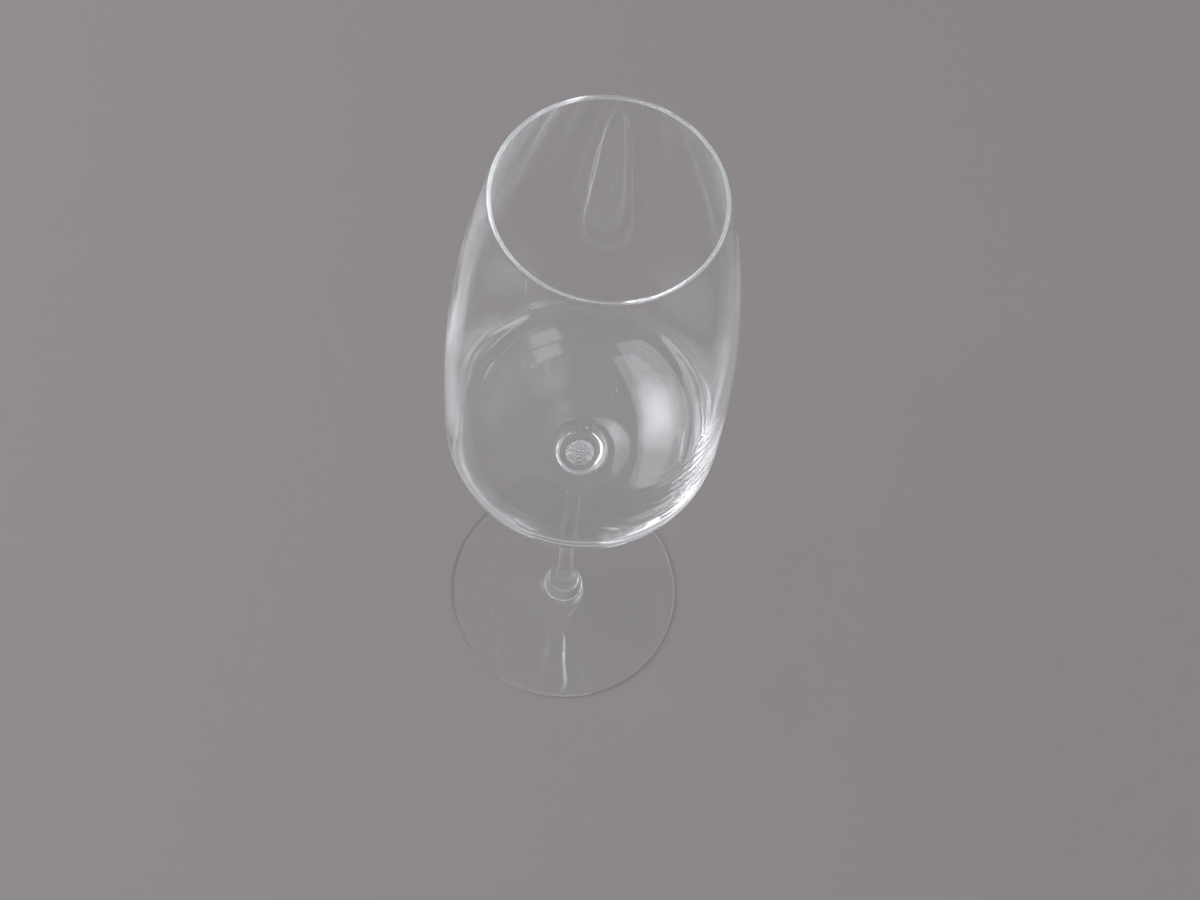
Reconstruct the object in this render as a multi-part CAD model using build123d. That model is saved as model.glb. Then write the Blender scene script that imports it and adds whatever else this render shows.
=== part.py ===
from build123d import *
import math
import os

# A stemmed wine glass, in millimetres, standing on the plane Z = 0 with its axis on Z.
# Four pieces of clear glass are welded end to end: foot, collar, stem and bowl.

# Foot: a thin disc that rises to a flat seat in its middle and stands on its outer ring.
foot_diameter = 71.5
foot_edge_thickness = 1.5
foot_contact_width = 1.2
foot_hollow = 1.1
foot_seat_height = 4.2
foot_rise_slope = 0.32

# Collar: the round-edged wafer between the foot and the stem.
collar_diameter = 12.0
collar_thickness = 2.4

# Stem: a drawn rod that swells to the knop below its waist and opens like a trumpet above it.
knop_seat_diameter = 8.0
knop_diameter = 9.4
knop_belly_height = 2.1
knop_height = 10.0
knop_neck_diameter = 5.0
waist_diameter = 4.5
waist_height = 43.0
trumpet_power = 4.0
stem_length = 91.4

# Bowl: a tall tulip, widest low down, drawn in to a round-edged rim. Its floor runs down
# into a short neck, which is welded to the stem.
neck_diameter = 7.2
flare_diameter = 31.2
flare_low_pull = 0.49
flare_high_pull = 0.48
bowl_height = 137.0
belly_height = 33.1
belly_diameter = 70.5
dome_height = 24.2
dome_squareness = 2.3
rim_diameter = 50.4
shoulder_power = 2.55
inner_floor_height = 13.7
inner_squareness = 2.15
inner_shoulder_power = 2.75
belly_wall_thickness = 1.4
rim_thickness = 1.0

# Sizes worked out from the ones above.
foot_radius = foot_diameter / 2
collar_radius = collar_diameter / 2
collar_edge_radius = collar_thickness / 2
collar_seat_radius = collar_radius - collar_edge_radius
knop_neck_radius = knop_neck_diameter / 2
waist_radius = waist_diameter / 2
neck_radius = neck_diameter / 2
flare_radius = flare_diameter / 2
belly_radius = belly_diameter / 2
rim_radius = rim_diameter / 2
rim_edge_radius = rim_thickness / 2
collar_z = foot_seat_height
stem_z = collar_z + collar_thickness
waist_z = stem_z + waist_height
bowl_z = stem_z + stem_length
belly_z = bowl_z + belly_height
rim_z = bowl_z + bowl_height
neck_slope = (neck_radius - waist_radius) * trumpet_power / (bowl_z - waist_z)


def turned(*edges):
    """Turn a closed outline of the XZ plane about Z."""
    return revolve(make_face(edges), Axis.Z)


def point(radius, height):
    """A point of an outline, given by its radius and its height."""
    return Vector(radius, 0, height)


def foot():
    """Disc with a hollow underside, a full round edge and a seat for the collar."""
    edge_radius = foot_edge_thickness / 2
    edge_start = foot_radius - edge_radius
    contact_start = edge_start - foot_contact_width
    crown = point(0, foot_hollow)
    underside = TangentArc(crown, point(contact_start, 0), tangent=(1, 0, 0))
    contact = Line(point(contact_start, 0), point(edge_start, 0))
    edge = ThreePointArc(
        point(edge_start, 0), point(foot_radius, edge_radius), point(edge_start, foot_edge_thickness)
    )
    top = Spline(
        point(edge_start, foot_edge_thickness),
        point(collar_seat_radius, foot_seat_height),
        tangents=[(-1, 0, 0), (-1, 0, foot_rise_slope)],
    )
    seat = Line(point(collar_seat_radius, foot_seat_height), point(0, foot_seat_height))
    axis = Line(point(0, foot_seat_height), crown)
    return turned(underside, contact, edge, top, seat, axis)


def collar():
    """Wafer with flat faces and a full round edge."""
    low = Line(point(0, collar_z), point(collar_seat_radius, collar_z))
    edge = ThreePointArc(
        point(collar_seat_radius, collar_z),
        point(collar_radius, collar_z + collar_edge_radius),
        point(collar_seat_radius, stem_z),
    )
    high = Line(point(collar_seat_radius, stem_z), point(0, stem_z))
    axis = Line(point(0, stem_z), point(0, collar_z))
    return turned(low, edge, high, axis)


def stem():
    """Rod whose lower end swells to the knop and whose top opens as a trumpet."""
    knop_seat_radius = knop_seat_diameter / 2
    belly = point(knop_diameter / 2, stem_z + knop_belly_height)
    knop_neck = point(knop_neck_radius, stem_z + knop_height)
    waist = point(waist_radius, waist_z)
    seat = Line(point(0, stem_z), point(knop_seat_radius, stem_z))
    knop_low = TangentArc(belly, point(knop_seat_radius, stem_z), tangent=(0, 0, -1))
    knop_high = Spline(belly, knop_neck, tangents=[(0, 0, 1), (0, 0, 1)])
    rod = Spline(knop_neck, waist, tangents=[(0, 0, 1), (0, 0, 1)])
    trumpet = power_curve(waist_radius, neck_radius, waist_z, bowl_z, trumpet_power)
    top = Line(point(neck_radius, bowl_z), point(0, bowl_z))
    axis = Line(point(0, bowl_z), point(0, stem_z))
    return turned(seat, knop_low, knop_high, rod, trumpet, top, axis)


def power_curve(start_radius, end_radius, start_z, end_z, power, steps=8):
    """Curve that leaves the vertical slowly: the change of radius is a power of the height."""
    change = end_radius - start_radius
    height = end_z - start_z
    shares = [step / steps for step in range(steps + 1)]
    points = [point(start_radius + change * share**power, start_z + height * share) for share in shares]
    return Spline(points, tangents=[(0, 0, 1), (change * power, 0, height)])


def dome_point(radius, height, squareness, start_radius, top_z):
    """Point and slope of a superellipse quarter that hangs from its widest circle at top_z."""
    share = (start_radius / radius) ** squareness
    drop = height * (1 - share) ** (1 / squareness)
    slope = height / radius * (share / (1 - share)) ** (1 - 1 / squareness)
    return point(start_radius, top_z - drop), slope


def dome_curve(radius, height, squareness, start_radius, top_z, steps=8):
    """Superellipse quarter, from a low point near the axis out to its widest circle."""
    slope = dome_point(radius, height, squareness, start_radius, top_z)[1]
    start_angle = math.asin((start_radius / radius) ** (squareness / 2))
    points = []
    for step in range(steps + 1):
        angle = start_angle + (math.pi / 2 - start_angle) * step / steps
        across = math.sin(angle) ** (2 / squareness)
        down = max(math.cos(angle), 0) ** (2 / squareness)
        points.append(point(radius * across, top_z - height * down))
    return Spline(points, tangents=[(1, 0, slope), (0, 0, 1)])


def neck_flare():
    """Curve from the neck, where it carries on the trumpet, out to the underside of the dome."""
    start = point(neck_radius, bowl_z)
    end, slope = dome_point(belly_radius, dome_height, dome_squareness, flare_radius, belly_z)
    chord = (end - start).length
    low_pull = Vector(neck_slope, 0, 1).normalized() * chord * flare_low_pull
    high_pull = Vector(1, 0, slope).normalized() * chord * flare_high_pull
    return Bezier(start, start + low_pull, end - high_pull, end)


def bowl():
    """Tulip shell on a solid neck, with a flat seat for the stem and a round rim."""
    edge_z = rim_z - rim_edge_radius
    edge_inside = rim_radius - rim_thickness
    seat = Line(point(0, bowl_z), point(neck_radius, bowl_z))
    outer_dome = dome_curve(belly_radius, dome_height, dome_squareness, flare_radius, belly_z)
    outer_shoulder = power_curve(belly_radius, rim_radius, belly_z, edge_z, shoulder_power)
    edge = ThreePointArc(
        point(rim_radius, edge_z), point(rim_radius - rim_edge_radius, rim_z), point(edge_inside, edge_z)
    )
    axis = Line(point(0, bowl_z + inner_floor_height), point(0, bowl_z))
    return turned(seat, neck_flare(), outer_dome, outer_shoulder, edge, *inner_curves(), axis)


def inner_curves():
    """The two curves of the bowl's inner wall, from below the rim down to the axis."""
    edge_z = rim_z - rim_edge_radius
    radius = belly_radius - belly_wall_thickness
    height = belly_height - inner_floor_height
    shoulder = power_curve(radius, rim_radius - rim_thickness, belly_z, edge_z, inner_shoulder_power)
    return shoulder, dome_curve(radius, height, inner_squareness, 0, belly_z)


def brimful_litres():
    """Capacity of the bowl up to the level where its inner wall meets the rim's round."""
    level = rim_z - rim_edge_radius
    surface = Line(point(rim_radius - rim_thickness, level), point(0, level))
    axis = Line(point(0, level), point(0, bowl_z + inner_floor_height))
    return turned(*inner_curves(), surface, axis).volume / 1e6


os.makedirs("parts", exist_ok=True)
pieces = {"foot": foot(), "collar": collar(), "stem": stem(), "bowl": bowl()}
for name, solid in pieces.items():
    export_step(solid, f"parts/{name}.step")
print(f"total height {rim_z:.1f} mm, brimful capacity {brimful_litres():.3f} litres")
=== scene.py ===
import math

import bpy
import numpy as np
from mathutils import Matrix, Vector


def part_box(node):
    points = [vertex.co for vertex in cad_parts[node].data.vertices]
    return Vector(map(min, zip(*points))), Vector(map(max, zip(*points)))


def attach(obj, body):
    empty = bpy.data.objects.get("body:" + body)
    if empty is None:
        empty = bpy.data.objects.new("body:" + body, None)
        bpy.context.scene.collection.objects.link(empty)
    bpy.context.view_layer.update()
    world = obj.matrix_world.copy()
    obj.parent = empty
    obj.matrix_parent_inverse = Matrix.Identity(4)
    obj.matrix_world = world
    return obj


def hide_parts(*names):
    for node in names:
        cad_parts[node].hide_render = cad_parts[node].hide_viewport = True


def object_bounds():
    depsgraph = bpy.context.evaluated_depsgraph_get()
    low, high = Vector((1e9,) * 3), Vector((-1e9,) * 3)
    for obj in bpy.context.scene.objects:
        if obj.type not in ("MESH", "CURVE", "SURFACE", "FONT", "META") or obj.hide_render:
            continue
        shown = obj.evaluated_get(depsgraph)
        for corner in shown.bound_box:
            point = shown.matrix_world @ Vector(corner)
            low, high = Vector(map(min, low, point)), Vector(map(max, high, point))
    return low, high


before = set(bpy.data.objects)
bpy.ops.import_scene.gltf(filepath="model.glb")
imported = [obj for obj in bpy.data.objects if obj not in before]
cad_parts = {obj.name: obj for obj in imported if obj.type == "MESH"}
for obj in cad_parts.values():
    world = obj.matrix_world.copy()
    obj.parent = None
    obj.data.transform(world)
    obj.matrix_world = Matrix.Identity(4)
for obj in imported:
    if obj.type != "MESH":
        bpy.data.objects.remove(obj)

cadLow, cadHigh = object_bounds()
mm = 0.001
aroundSteps = 224     # quads round every turned piece
creaseAngle = 20      # degrees: a sharper corner of an outline stays a hard edge
fineCount = 400       # points of a curve before evenly() thins them


# An outline is an array of (radius, height) rows.

def straight(start, end, count=2):
    # start + s (end - start), s from 0 to 1
    share = np.linspace(0, 1, count)[:, None]
    return np.array(start) + share * (np.array(end) - np.array(start))


def arc(centre, radius, fromAngle, toAngle, count):
    # centre + radius (cos a, sin a), angles in degrees
    angle = np.radians(np.linspace(fromAngle, toAngle, count))
    return np.stack([centre[0] + radius * np.cos(angle), centre[1] + radius * np.sin(angle)], 1)


def bezier(start, startPull, endPull, end, count):
    # (1-s)^3 p0 + 3 (1-s)^2 s p1 + 3 (1-s) s^2 p2 + s^3 p3
    # with p1 = p0 + startPull and p2 = p3 - endPull
    s = np.linspace(0, 1, count)[:, None]
    first, last = np.array(start), np.array(end)
    second, third = first + np.array(startPull), last - np.array(endPull)
    return (1 - s) ** 3 * first + 3 * (1 - s) ** 2 * s * second + 3 * (1 - s) * s**2 * third + s**3 * last


def easedCurve(start, startWay, endWay, end, count):
    # a bezier that leaves along startWay and arrives along endWay; its pulls are a third of its chord,
    # with lengths measured as across plus up
    third = (abs(end[0] - start[0]) + abs(end[1] - start[1])) / 3
    pulls = [np.array(way) / (abs(way[0]) + abs(way[1])) * third for way in (startWay, endWay)]
    return bezier(start, *pulls, end, count)


def powerCurve(start, end, power, count):
    # r = r0 + (r1 - r0) s^power, z = z0 + (z1 - z0) s
    share = np.linspace(0, 1, count)
    across = start[0] + (end[0] - start[0]) * share**power
    return np.stack([across, start[1] + (end[1] - start[1]) * share], 1)


def domeDrop(radius, height, squareness, at):
    # depth under the widest circle, and slope, of |r / R|^n + |drop / h|^n = 1
    share = (at / radius) ** squareness
    slope = height / radius * (share / (1 - share)) ** (1 - 1 / squareness)
    return height * (1 - share) ** (1 / squareness), slope


def dome(radius, height, squareness, startRadius, topZ, count):
    # the same curve from startRadius out to its widest circle at topZ
    angle = np.linspace(math.asin((startRadius / radius) ** (squareness / 2)), math.pi / 2, count)
    across = np.sin(angle) ** (2 / squareness)
    down = np.clip(np.cos(angle), 0, 1) ** (2 / squareness)
    return np.stack([radius * across, topZ - height * down], 1)


def evenly(outline, spacing):
    # the same curve with points at equal steps of its length
    length = np.concatenate([[0], np.cumsum(np.hypot(*np.diff(outline, axis=0).T))])
    wanted = np.linspace(0, length[-1], max(2, round(length[-1] / spacing) + 1))
    return np.stack([np.interp(wanted, length, outline[:, k]) for k in (0, 1)], 1)


def turnedPiece(name, stretches, materials, unevenness=None):
    # x = r cos t, y = r sin t, z; the stretches are (outline, material number), from axis to axis
    joined, slots, corners = [], [], []
    for outline, slotNumber in stretches:
        joined.append(outline if not joined else outline[1:])
        slots += [slotNumber] * (len(outline) - 1)
        corners.append(sum(map(len, joined)) - 1)
    profile = np.concatenate(joined)
    rings = profile[1:-1]
    turn = np.linspace(0, 2 * math.pi, aroundSteps, endpoint=False)
    radius = np.repeat(rings[:, :1], aroundSteps, 1)
    height = np.repeat(rings[:, 1:], aroundSteps, 1)
    angle = np.repeat(turn[None], len(rings), 0)
    if unevenness is not None:
        # moves each ring along its outward normal: the outline's direction, turned a quarter right
        along = np.gradient(rings, axis=0)
        along /= np.linalg.norm(along, axis=1)[:, None]
        shift = unevenness(angle, radius, height)
        radius = radius + shift * along[:, 1:]
        height = height - shift * along[:, :1]
    grid = np.stack([radius * np.cos(angle), radius * np.sin(angle), height], 2).reshape(-1, 3)
    poles = np.array([[0, 0, profile[0, 1]], [0, 0, profile[-1, 1]]])
    vertices = np.concatenate([grid, poles])

    here = np.arange(aroundSteps)
    after = (here + 1) % aroundSteps
    low = (np.arange(len(rings) - 1) * aroundSteps)[:, None]
    quads = np.stack([low + here, low + after, low + aroundSteps + after, low + aroundSteps + here], 2)
    quads = quads.reshape(-1, 4)
    firstPole, lastPole = len(grid), len(grid) + 1
    last = (len(rings) - 1) * aroundSteps
    firstFan = np.stack([np.full(aroundSteps, firstPole), after, here], 1)
    lastFan = np.stack([np.full(aroundSteps, lastPole), last + here, last + after], 1)

    mesh = bpy.data.meshes.new(name)
    mesh.from_pydata(vertices.tolist(), [], quads.tolist() + firstFan.tolist() + lastFan.tolist())
    numbers = np.repeat(slots[1:-1] + [slots[0], slots[-1]], aroundSteps).astype(np.int32)
    mesh.polygons.foreach_set("material_index", numbers)
    mesh.polygons.foreach_set("use_smooth", np.ones(len(numbers), bool))

    # hard creases where two stretches meet at a corner
    direction = np.diff(profile, axis=0)
    direction /= np.linalg.norm(direction, axis=1)[:, None]
    straightEnough = math.cos(math.radians(creaseAngle))
    creased = [c for c in corners[:-1] if direction[c - 1] @ direction[c] < straightEnough]
    ends = np.empty(len(mesh.edges) * 2, np.int32)
    mesh.edges.foreach_get("vertices", ends)
    ends = ends.reshape(-1, 2)
    ringOfEnd = ends // aroundSteps
    flat = (ringOfEnd[:, 0] == ringOfEnd[:, 1]) & (ends.max(1) < len(grid))
    mesh.edges.foreach_set("use_edge_sharp", flat & np.isin(ringOfEnd[:, 0], np.array(creased) - 1))
    for material in materials:
        mesh.materials.append(material)
    mesh.update()
    piece = bpy.data.objects.new(name, mesh)
    bpy.context.scene.collection.objects.link(piece)
    return piece


def newMaterial(name):
    # a material and the inputs of its shader
    material = bpy.data.materials.new(name)
    material.use_nodes = True
    return material, material.node_tree.nodes["Principled BSDF"].inputs


def nodeMaker(tree):
    # makes one node with its settings; each source in turn is a socket to link from or a value to set
    def add(kind, settings, *sources):
        node = tree.nodes.new("ShaderNode" + kind)
        for name, value in settings.items():
            if name in node.inputs:
                node.inputs[name].default_value = value
            else:
                setattr(node, name, value)
        for number, source in enumerate(sources):
            if isinstance(source, bpy.types.NodeSocket):
                tree.links.new(source, node.inputs[number])
            else:
                node.inputs[number].default_value = source
        return node
    return add


wearShape = {
    "specksPerMetre": 300,       # dust: cells in a metre, each with a speck or none
    "speckSize": 0.055,          # radius in cells
    "speckCore": 0.6,            # share of the radius that is fully rough
    "speckShare": 0.4,           # cells left without one
    "scratchStretch": (620, 620, 26),    # noise steps in a metre, across and along a scratch
    "scratchTurn": (0.5, 0.35, 0.2),     # radians
    "scratchNoise": {"Scale": 1.0, "Detail": 1.0, "Distortion": 0.6},
    "scratchCut": (0.73, 0.80),  # noise where a scratch begins, and where it is full
    "smearNoise": {"Scale": 34, "Detail": 3.0, "Distortion": 1.4},
    "smearCut": (0.56, 0.80),
}


def makeWear(size):
    # roughness = the largest of specks, scratches and smears, each a mask from 0 to 1 times its strength
    wear = bpy.data.node_groups.new("glassWear", "ShaderNodeTree")
    for name in ("Dust", "Scratches", "Smears"):
        wear.interface.new_socket(name, in_out="INPUT", socket_type="NodeSocketFloat")
    wear.interface.new_socket("Roughness", in_out="OUTPUT", socket_type="NodeSocketFloat")
    given = wear.nodes.new("NodeGroupInput").outputs
    out = wear.nodes.new("NodeGroupOutput").inputs
    add = nodeMaker(wear)
    place = add("TexCoord", {}).outputs["Object"]

    def cut(source, start, full):
        return add("MapRange", {"From Min": start, "From Max": full}, source).outputs["Result"]

    def combine(operation, first, second):
        return add("Math", {"operation": operation}, first, second).outputs["Value"]

    cells = add("TexVoronoi", {"Scale": size["specksPerMetre"]}, place)
    near = cut(cells.outputs["Distance"], size["speckSize"], size["speckSize"] * size["speckCore"])
    chance = add("SeparateXYZ", {}, cells.outputs["Color"]).outputs["X"]
    specks = combine("MULTIPLY", near, combine("GREATER_THAN", chance, size["speckShare"]))

    turned = add("Mapping", {"Rotation": size["scratchTurn"], "Scale": size["scratchStretch"]}, place)
    grain = add("TexNoise", size["scratchNoise"], turned.outputs["Vector"])
    scratches = cut(grain.outputs["Fac"], *size["scratchCut"])

    cloud = add("TexNoise", size["smearNoise"], place)
    smears = cut(cloud.outputs["Fac"], *size["smearCut"])

    dusty = combine("MULTIPLY", specks, given["Dust"])
    scratched = combine("MULTIPLY", scratches, given["Scratches"])
    smeared = combine("MULTIPLY", smears, given["Smears"])
    roughest = combine("MAXIMUM", combine("MAXIMUM", dusty, scratched), smeared)
    wear.links.new(roughest, out["Roughness"])
    return wear


glassWear = makeWear(wearShape)

glassShape = {
    "colour": (0.99, 0.996, 1.0, 1),
    "ior": 1.52,
}


def clearGlass(name, dust, scratches, smears):
    material, shader = newMaterial(name)
    shader["Base Color"].default_value = glassShape["colour"]
    shader["IOR"].default_value = glassShape["ior"]
    shader["Transmission Weight"].default_value = 1
    wear = material.node_tree.nodes.new("ShaderNodeGroup")
    wear.node_tree = glassWear
    wear.inputs["Dust"].default_value = dust
    wear.inputs["Scratches"].default_value = scratches
    wear.inputs["Smears"].default_value = smears
    material.node_tree.links.new(wear.outputs["Roughness"], shader["Roughness"])
    return material


def weldSeam():
    # fused glass has no surface at a weld, so the seam lets everything through
    material, shader = newMaterial("weldSeam")
    shader["Alpha"].default_value = 0
    return material


seam = weldSeam()


def standsFor(piece, node):
    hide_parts(node)
    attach(piece, "root")
    print(piece.name, len(piece.data.polygons), "faces")


footShape = {
    "wear": (0.7, 0.25, 0.03),   # roughness of dust, scratches and smears
    "edgeThickness": 1.5 * mm,
    "contactWidth": 1.2 * mm,
    "hollow": 1.1 * mm,          # rise of the underside at the axis
    "seatRadius": 4.8 * mm,      # flat weld under the collar
    "riseSlope": 0.32,           # slope of the top where it meets the seat
}


def makeFoot(size):
    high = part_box("foot")[1]
    edgeRadius = size["edgeThickness"] / 2
    edgeStart = high.x - edgeRadius
    contactStart = edgeStart - size["contactWidth"]
    hollowRadius = (contactStart**2 + size["hollow"] ** 2) / (2 * size["hollow"])
    hollowAngle = math.degrees(math.asin(contactStart / hollowRadius))
    underside = arc((0, size["hollow"] - hollowRadius), hollowRadius, 90, 90 - hollowAngle, 60)
    contact = straight((contactStart, 0), (edgeStart, 0), 3)
    edge = arc((edgeStart, edgeRadius), edgeRadius, -90, 90, 18)
    top = easedCurve((edgeStart, size["edgeThickness"]), (-1, 0), (-1, size["riseSlope"]),
                     (size["seatRadius"], high.z), 60)
    seat = straight((size["seatRadius"], high.z), (0, high.z))
    return turnedPiece("footGlass", [(underside, 0), (contact, 0), (edge, 0), (top, 0), (seat, 1)],
                       [clearGlass("footSurface", *size["wear"]), seam])


standsFor(makeFoot(footShape), "foot")

collarShape = {
    "wear": (0.4, 0.1, 0.02),    # roughness of dust, scratches and smears
    "seatRadius": 4.8 * mm,
    "knopSeatRadius": 4.0 * mm,
}


def makeCollar(size):
    low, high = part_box("collar")
    seatRadius, knopRadius = size["seatRadius"], size["knopSeatRadius"]
    lowSeat = straight((0, low.z), (seatRadius, low.z))
    edge = arc((seatRadius, (low.z + high.z) / 2), (high.z - low.z) / 2, -90, 90, 24)
    ledge = straight((seatRadius, high.z), (knopRadius, high.z))
    highSeat = straight((knopRadius, high.z), (0, high.z))
    return turnedPiece("collarGlass", [(lowSeat, 1), (edge, 0), (ledge, 0), (highSeat, 1)],
                       [clearGlass("collarSurface", *size["wear"]), seam])


standsFor(makeCollar(collarShape), "collar")

stemShape = {
    "wear": (0.4, 0.1, 0.02),    # roughness of dust, scratches and smears
    "knopSeatRadius": 4.0 * mm,
    "knopBellyHeight": 2.1 * mm,
    "knopHeight": 10.0 * mm,
    "knopNeckRadius": 2.5 * mm,
    "waistRadius": 2.25 * mm,
    "waistHeight": 43.0 * mm,
    "neckRadius": 3.6 * mm,      # where the bowl is welded on
    "trumpetPower": 4.0,
}


def makeStem(size):
    low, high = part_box("stem")
    bellyZ = low.z + size["knopBellyHeight"]
    knopTopZ = low.z + size["knopHeight"]
    waistZ = low.z + size["waistHeight"]
    swell = high.x - size["knopSeatRadius"]
    bend = (swell**2 + size["knopBellyHeight"] ** 2) / (2 * swell)
    lean = math.degrees(math.asin(size["knopBellyHeight"] / bend))
    seat = straight((0, low.z), (size["knopSeatRadius"], low.z))
    knopLow = arc((high.x - bend, bellyZ), bend, -lean, 0, 14)
    knopHigh = easedCurve((high.x, bellyZ), (0, 1), (0, 1), (size["knopNeckRadius"], knopTopZ), 40)
    rod = easedCurve((size["knopNeckRadius"], knopTopZ), (0, 1), (0, 1), (size["waistRadius"], waistZ), 60)
    weld = (size["neckRadius"], high.z)
    trumpet = powerCurve((size["waistRadius"], waistZ), weld, size["trumpetPower"], 90)
    top = straight(weld, (0, high.z))
    return turnedPiece(
        "stemGlass", [(seat, 1), (knopLow, 0), (knopHigh, 0), (rod, 0), (trumpet, 0), (top, 1)],
        [clearGlass("stemSurface", *size["wear"]), seam])


standsFor(makeStem(stemShape), "stem")

bowlShape = {
    "wear": (0.7, 0.25, 0.02),   # roughness of dust, scratches and smears
    "neckRadius": 3.6 * mm,
    "neckSlope": 0.1116,         # carries on the stem's trumpet
    "flareRadius": 15.6 * mm,
    "flareLowPull": 0.49,        # in chords
    "flareHighPull": 0.48,
    "flareMesh": 0.22 * mm,      # step between rings of the mesh
    "bellyHeight": 33.1 * mm,
    "domeHeight": 24.2 * mm,
    "domeSquareness": 2.3,
    "domeMesh": 0.5 * mm,
    "shoulderPower": 2.55,
    "rimRadius": 25.2 * mm,
    "rimThickness": 1.0 * mm,
    "bellyWall": 1.4 * mm,
    "innerFloor": 13.7 * mm,
    "innerSquareness": 2.15,
    "innerShoulderPower": 2.75,
    "lowSway": 0.05 * mm,        # slow unevenness of the inner wall, low down
    "highSway": 0.13 * mm,       # and on the shoulder
    "swayFoot": 50 * mm,         # it starts to grow this high above the weld
    "swayClimb": 45 * mm,        # and is full this much higher
    "swayTop": 25 * mm,          # it fades out this far under the rim
    "swayRadius": 20 * mm,       # and towards the axis, inside this radius
    "swayWaves": [               # share, waves round, phase, lean in radians, its rise and its phase
        (0.6, 3, 1.3, 1.1, 31 * mm, 3.3),
        (0.2, 5, 0.4, 0.8, 23 * mm, 6.4),
    ],
    "ringDepth": 0.015 * mm,     # turning rings, the same on both faces of the wall
    "ringStep": 3.8 * mm,
    "ringTilt": (0.3, 0.7),      # how far from level, and towards where, in radians
    "ringRadius": 28 * mm,       # they start where the wall is this wide
    "ringFade": 6.5 * mm,
    "ringTop": 75 * mm,          # and end this high above the weld
    "ringTopFade": 20 * mm,
    "ringSide": -0.44,           # they are deepest on this side, in radians from the x axis
    "ringSidePower": 4,          # a higher power keeps them closer to it
    "ringElsewhere": 0.03,       # share of their depth on the other side
}


def makeBowl(size):
    low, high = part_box("bowl")
    bellyZ = low.z + size["bellyHeight"]
    edgeRadius = size["rimThickness"] / 2
    edgeZ = high.z - edgeRadius
    innerRadius = high.x - size["bellyWall"]
    innerRim = size["rimRadius"] - size["rimThickness"]
    floorZ = low.z + size["innerFloor"]
    drop, slope = domeDrop(high.x, size["domeHeight"], size["domeSquareness"], size["flareRadius"])
    neck = np.array([size["neckRadius"], low.z])
    flareEnd = np.array([size["flareRadius"], bellyZ - drop])
    chord = np.linalg.norm(flareEnd - neck)
    lowWay = np.array([size["neckSlope"], 1]) / math.hypot(size["neckSlope"], 1)
    highWay = np.array([1, slope]) / math.hypot(1, slope)
    lowPull, highPull = lowWay * chord * size["flareLowPull"], highWay * chord * size["flareHighPull"]
    seat = straight((0, low.z), neck)
    flare = evenly(bezier(neck, lowPull, highPull, flareEnd, fineCount), size["flareMesh"])
    outerDome = evenly(dome(high.x, size["domeHeight"], size["domeSquareness"], size["flareRadius"],
                            bellyZ, fineCount), size["domeMesh"])
    outerShoulder = powerCurve((high.x, bellyZ), (size["rimRadius"], edgeZ), size["shoulderPower"], 90)
    rim = arc((size["rimRadius"] - edgeRadius, edgeZ), edgeRadius, 0, 180, 14)
    innerShoulder = powerCurve((innerRadius, bellyZ), (innerRim, edgeZ), size["innerShoulderPower"], 100)
    innerDome = evenly(dome(innerRadius, bellyZ - floorZ, size["innerSquareness"], 0,
                            bellyZ, fineCount), size["domeMesh"])

    def unevenWall(angle, radius, height):
        # inner face: slow waves round the wall that lean as they climb, none at the rim or the axis
        #   share sin(waves t + phase + lean sin(z / rise + start)), added up
        # both faces: rings, depth sin(2 pi z / step), nearly level and deepest on one side
        up = height - low.z
        inner = np.zeros((len(radius), 1), bool)
        inner[-(len(innerShoulder) + len(innerDome) - 2):] = True

        climb = np.clip((up - size["swayFoot"]) / size["swayClimb"], 0, 1)
        sway = size["lowSway"] + (size["highSway"] - size["lowSway"]) * climb
        underRim = np.clip((edgeZ - height) / size["swayTop"], 0, 1)
        fade = underRim * np.clip(radius / size["swayRadius"], 0, 1) ** 2
        slow = sum(share * np.sin(waves * angle + phase + lean * np.sin(up / rise + start))
                   for share, waves, phase, lean, rise, start in size["swayWaves"])

        side = (0.5 + 0.5 * np.cos(angle - size["ringSide"])) ** size["ringSidePower"]
        side = size["ringElsewhere"] + (1 - size["ringElsewhere"]) * side
        band = np.clip((size["ringTop"] - up) / size["ringTopFade"], 0, 1) * side
        band = band * np.clip((radius - size["ringRadius"]) / size["ringFade"], 0, 1) ** 2
        tilt, towards = size["ringTilt"]
        rings = np.sin(2 * math.pi * up / size["ringStep"] + tilt * np.sin(angle + towards))
        return inner * fade * sway * slow + np.where(inner, 1, -1) * size["ringDepth"] * band * rings

    return turnedPiece(
        "bowlGlass", [(seat, 1), (flare, 0), (outerDome, 0), (outerShoulder, 0), (rim, 0),
                      (innerShoulder[::-1], 0), (innerDome[::-1], 0)],
        [clearGlass("bowlSurface", *size["wear"]), seam], unevenWall)


standsFor(makeBowl(bowlShape), "bowl")


stageShape = {
    "floorSize": 80.0,
    "floorDrop": 0.05 * mm,      # keeps the floor clear of the foot
    "floorColour": (0.56, 0.51, 0.507, 1),
    "floorRoughness": 0.9,
    "airColour": (0.95, 0.97, 1.0, 1),
    "horizon": 0.20,             # brightness of the surroundings level with the glass
    "overhead": 0.36,
    "fadeTop": 0.45,             # sine of the height where they reach it
    "guided": 1.25,              # how much brighter they are for light led along inside the glass
    "guidedFrom": 2,             # it grows from this many reflections
    "guidedTo": 5,               # to this many
}


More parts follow.
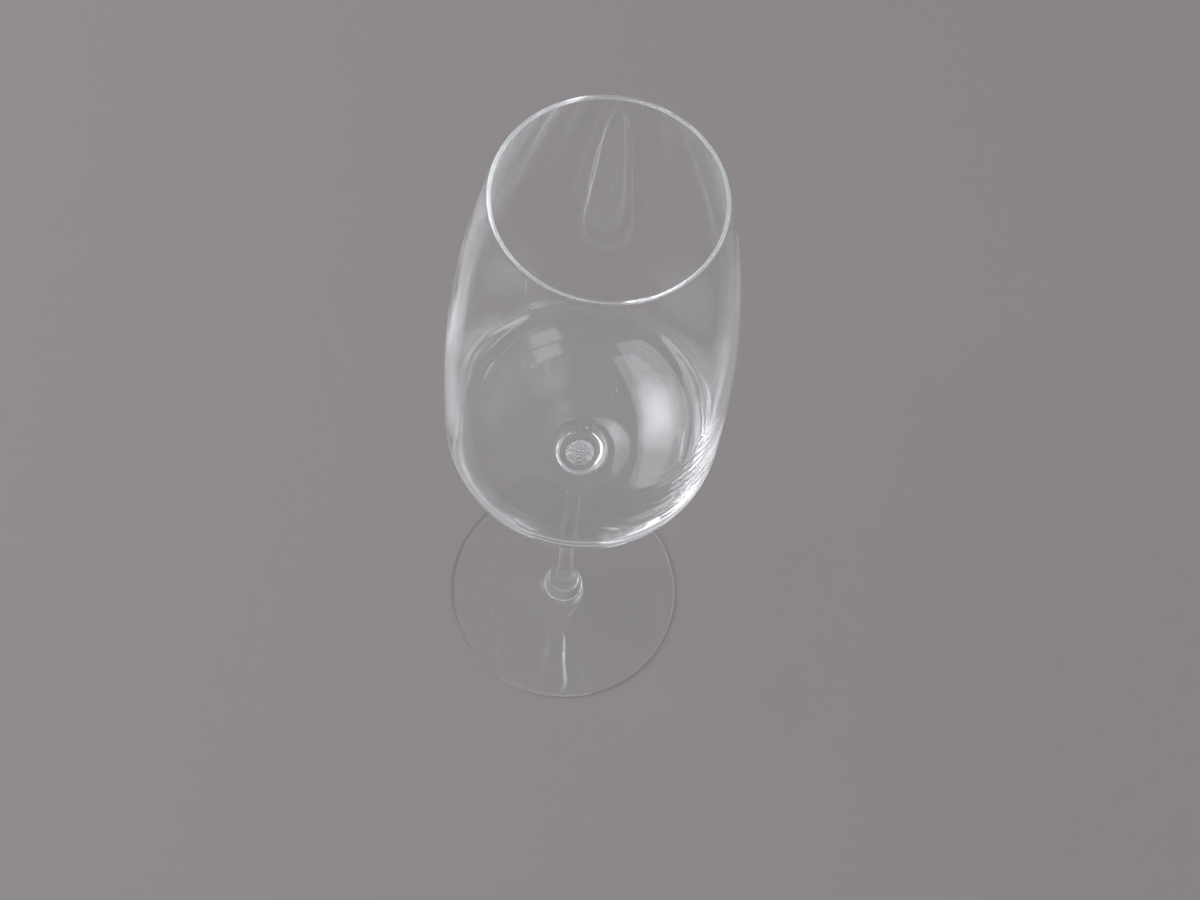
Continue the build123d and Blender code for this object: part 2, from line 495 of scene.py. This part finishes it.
def layFloor(size):
    half, drop = size["floorSize"] / 2, size["floorDrop"]
    corners = [(-half, -half, -drop), (half, -half, -drop), (half, half, -drop), (-half, half, -drop)]
    mesh = bpy.data.meshes.new("floor")
    mesh.from_pydata(corners, [], [(0, 1, 2, 3)])
    paper, shader = newMaterial("palePaper")
    shader["Base Color"].default_value = size["floorColour"]
    shader["Roughness"].default_value = size["floorRoughness"]
    mesh.materials.append(paper)
    floor = bpy.data.objects.new("floor", mesh)
    bpy.context.scene.collection.objects.link(floor)


def makeAir(size):
    # brightness grows smoothly from the horizon to overhead, with the sine of the height, and again
    # with the number of reflections behind the light
    world = bpy.data.worlds.new("studio")
    world.use_nodes = True
    add = nodeMaker(world.node_tree)
    way = add("SeparateXYZ", {}, add("TexCoord", {}).outputs["Generated"])
    path = add("LightPath", {})
    climb = add("MapRange", {
        "interpolation_type": "SMOOTHSTEP", "From Max": size["fadeTop"],
        "To Min": size["horizon"], "To Max": size["overhead"]}, way.outputs["Z"])
    guided = add("MapRange", {
        "From Min": size["guidedFrom"], "From Max": size["guidedTo"],
        "To Min": 1, "To Max": size["guided"]}, path.outputs["Glossy Depth"])
    both = add("Math", {"operation": "MULTIPLY"}, climb.outputs["Result"], guided.outputs["Result"])
    background = world.node_tree.nodes["Background"].inputs
    background["Color"].default_value = size["airColour"]
    world.node_tree.links.new(both.outputs["Value"], background["Strength"])
    bpy.context.scene.world = world


layFloor(stageShape)
makeAir(stageShape)

# where each light stands as seen from the glass: degrees right of straight behind it, degrees up,
# metres away, degrees wide and tall, brightness, colour, and how soft its edge is; a gleam lights the
# glass but not the floor
lightShapes = {
    "window": (-86, 38, 1.30, 46, 42, 1.2, (0.95, 0.97, 1.0), 0),
    "windowGleam": (-85, 40, 1.29, 44, 46, 4.4, (0.95, 0.97, 1.0), 0.4),
    "whiteWallGleam": (-95, 34, 1.80, 104, 54, 2.2, (0.93, 0.96, 1.0), 0.02),
    "frontGleam": (140, 27, 1.50, 24, 24, 2.4, (1.0, 1.0, 1.0), 0.1),
    "rightFill": (85, 20, 1.60, 40, 30, 0.4, (0.85, 0.93, 1.0), 0),
}


gleamShape = {
    "dimmed": 0.08,              # share of a gleam that shows on the near faces of the glass
    "nearFaces": 3,              # faces that its light has crossed there
    "farFaces": 4,               # and where it shows in full
}


def shapeGlow(light, softness, size):
    # full brightness in the middle and none at the edge: smoothstep of max(|u|, |v|) from 0.5 - softness
    # to 0.5, with u and v across the light from -0.5 to 0.5; none on what the floor sends back
    light.use_nodes = True
    add = nodeMaker(light.node_tree)
    place = add("NewGeometry", {})
    path = add("LightPath", {})
    centred = add("VectorMath", {"operation": "SUBTRACT"}, place.outputs["Parametric"], (0.5, 0.5, 0))
    outward = add("VectorMath", {"operation": "ABSOLUTE"}, centred.outputs["Vector"])
    parts = add("SeparateXYZ", {}, outward.outputs["Vector"])
    reach = add("Math", {"operation": "MAXIMUM"}, parts.outputs["X"], parts.outputs["Y"])
    fall = add("MapRange", {
        "interpolation_type": "SMOOTHSTEP", "From Min": 0.5 - softness, "From Max": 0.5,
        "To Min": 1, "To Max": 0}, reach.outputs["Value"])
    direct = add("Math", {"operation": "LESS_THAN"}, path.outputs["Diffuse Depth"], 0.5)
    through = add("MapRange", {
        "From Min": size["nearFaces"], "From Max": size["farFaces"],
        "To Min": size["dimmed"], "To Max": 1}, path.outputs["Transmission Depth"])
    both = add("Math", {"operation": "MULTIPLY"}, fall.outputs["Result"], direct.outputs["Value"])
    strength = add("Math", {"operation": "MULTIPLY"}, both.outputs["Value"], through.outputs["Result"])
    emission = light.node_tree.nodes["Emission"].inputs
    light.node_tree.links.new(strength.outputs["Value"], emission["Strength"])


def hangLight(name, azimuth, elevation, distance, wide, tall, brightness, colour, softness):
    light = bpy.data.lights.new(name, "AREA")
    light.shape = "RECTANGLE"
    light.size = 2 * distance * math.tan(math.radians(wide / 2))
    light.size_y = 2 * distance * math.tan(math.radians(tall / 2))
    light.energy = brightness * math.pi * light.size * light.size_y
    light.color = colour
    side, up = math.radians(azimuth), math.radians(elevation)
    aim = Vector((0, 0, (cadLow.z + cadHigh.z) / 2))
    way = Vector((math.cos(up) * math.sin(side), math.cos(up) * math.cos(side), math.sin(up)))
    place = aim + distance * way
    lamp = bpy.data.objects.new(name, light)
    lamp.location = place
    lamp.rotation_euler = (aim - place).to_track_quat("-Z", "Y").to_euler()
    if name.endswith("Gleam"):
        shapeGlow(light, softness, gleamShape)
        lamp.visible_diffuse = False
    bpy.context.scene.collection.objects.link(lamp)


for lightName, lightShape in lightShapes.items():
    hangLight(lightName, *lightShape)
print("stage and", len(lightShapes), "lights")

cameraShape = {
    "distance": 205.4 * mm,      # level distance from the axis
    "height": 563.0 * mm,
    "turn": 1.54,                # degrees to the right of the axis
    "pitch": 65.61,              # degrees below level
    "roll": 8.2,
    "lens": 56.25,
    "sensor": 36.0,
    "nearest": 10 * mm,          # nothing nearer shows
}


def placeCamera(size):
    turn, pitch, roll = (math.radians(size[name]) for name in ("turn", "pitch", "roll"))
    forward = Vector((math.sin(turn) * math.cos(pitch), math.cos(turn) * math.cos(pitch), -math.sin(pitch)))
    level = Vector((math.cos(turn), -math.sin(turn), 0))
    upward = level.cross(forward)
    right = level * math.cos(roll) + upward * math.sin(roll)
    above = -level * math.sin(roll) + upward * math.cos(roll)
    camera = bpy.data.objects.new("camera", bpy.data.cameras.new("camera"))
    camera.data.lens = size["lens"]
    camera.data.sensor_width = size["sensor"]
    camera.data.clip_start = size["nearest"]
    facing = Matrix((right, above, -forward)).transposed().to_4x4()
    camera.matrix_world = Matrix.Translation((0, -size["distance"], size["height"])) @ facing
    bpy.context.scene.collection.objects.link(camera)
    bpy.context.scene.camera = camera


placeCamera(cameraShape)
print("camera")

renderShape = {
    "bounces": 256,              # light led along inside a wall is reflected dozens of times
    "seamBounces": 32,
}

cycles = bpy.context.scene.cycles
cycles.max_bounces = renderShape["bounces"]
cycles.transmission_bounces = renderShape["bounces"]
cycles.glossy_bounces = renderShape["bounces"]
cycles.transparent_max_bounces = renderShape["seamBounces"]
cycles.blur_glossy = 0           # light reaches the floor through the glass undimmed
cycles.use_denoising = True
bpy.context.scene.view_settings.view_transform = "Standard"
